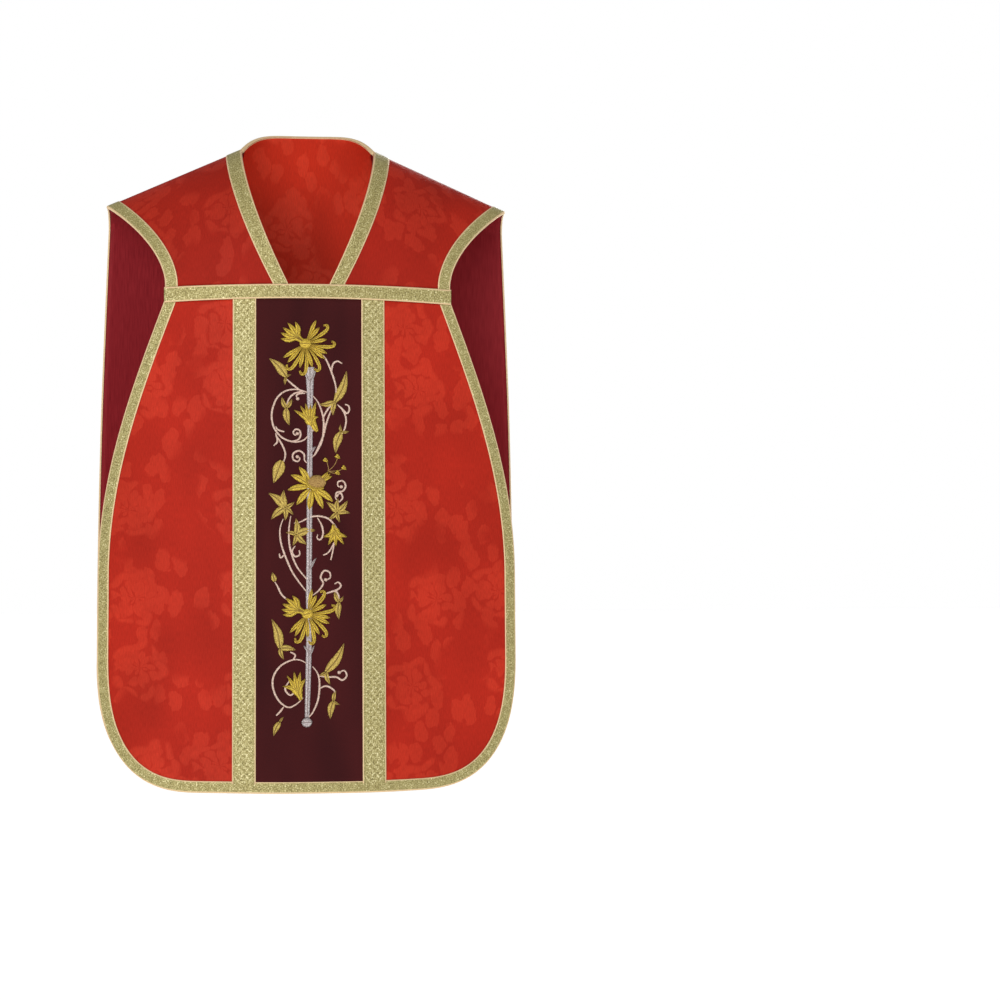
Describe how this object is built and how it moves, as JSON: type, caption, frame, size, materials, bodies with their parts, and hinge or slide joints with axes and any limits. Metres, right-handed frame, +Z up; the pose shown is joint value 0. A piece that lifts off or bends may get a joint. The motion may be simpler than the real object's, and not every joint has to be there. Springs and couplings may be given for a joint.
{
  "type": "chasuble",
  "caption": "Fiddleback chasuble: lined damask front and back joined over the shoulders, column orphrey in front, cross orphrey behind, galloon edges and raised vine embroidery.",
  "frame": {"origin": "middle of the neck opening, at the height of the shoulder seam's neck points", "axes": "+Z up as worn, the front faces -Y, +X is to the right seen from the front"},
  "size_m": [0.709, 0.3784, 1.1203],
  "materials": {
    "damask": "woven silk damask, red on red, soft sheen",
    "orphrey": "close woven wine-dark silk, matt",
    "galloon": "woven metal-thread galloon, pale greenish gold",
    "lining": "crimson satin, smooth sheen",
    "interlining": "stiff plain canvas",
    "gold_thread": "raised gold-thread embroidery",
    "silver_thread": "couched silver and lilac thread",
    "pale_thread": "couched pinkish white thread",
    "medallion_silk": "crimson silk ground of the medallion"
  },
  "bodies": {
    "shoulders": {"shoulder_left": "damask", "shoulder_right": "damask", "shoulder_interlining_left": "interlining", "shoulder_interlining_right": "interlining", "shoulder_lining_left": "lining", "shoulder_lining_right": "lining", "armhole_band_left": "galloon", "armhole_band_right": "galloon", "neck_band_left": "galloon", "neck_band_right": "galloon", "neck_band_back": "galloon", "neck_facing": "damask", "back_facing": "damask", "back_yoke": "damask", "back_yoke_interlining": "interlining", "back_yoke_lining": "lining", "yoke_edge_left": "galloon", "yoke_edge_right": "galloon", "yoke_column": "orphrey", "yoke_galloon_left": "galloon", "yoke_galloon_right": "galloon", "yoke_spray": "gold_thread", "chest_band": "galloon", "chest_backing": "interlining", "back_middle": "damask", "back_middle_interlining": "interlining", "back_middle_lining": "lining", "middle_edge_left": "galloon", "middle_edge_right": "galloon", "cross_column": "orphrey", "cross_arm_left": "orphrey", "cross_arm_right": "orphrey", "arm_galloon_left": "galloon", "arm_galloon_right": "galloon", "arm_sprig_left": "gold_thread", "arm_sprig_right": "gold_thread", "medallion_ground": "medallion_silk", "medallion_border": "gold_thread", "medallion_emblem": "gold_thread"},
    "front_panel": {"front_skirt": "damask", "front_interlining": "interlining", "front_lining": "lining", "front_edge": "galloon", "front_column": "orphrey", "front_galloon_left": "galloon", "front_galloon_right": "galloon", "front_vine_stem": "silver_thread", "front_vine_tendrils": "pale_thread", "front_vine_leaves": "gold_thread", "front_vine_flowers": "gold_thread"},
    "back_panel": {"back_skirt": "damask", "back_interlining": "interlining", "back_lining": "lining", "back_edge": "galloon", "back_column": "orphrey", "back_galloon_left": "galloon", "back_galloon_right": "galloon", "back_vine_stem": "silver_thread", "back_vine_tendrils": "pale_thread", "back_vine_leaves": "gold_thread", "back_vine_flowers": "gold_thread"}
  },
  "joints": [
    {"name": "front_fold", "type": "hinge", "parent": "shoulders", "child": "front_panel", "pos_m": [0, -0.1536, -0.258], "axis": [-1, 0, 0], "range_deg": [0, 35]},
    {"name": "back_fold", "type": "hinge", "parent": "shoulders", "child": "back_panel", "pos_m": [0, 0.1136, -0.4015], "axis": [1, 0, 0], "range_deg": [0, 50]}
  ]
}
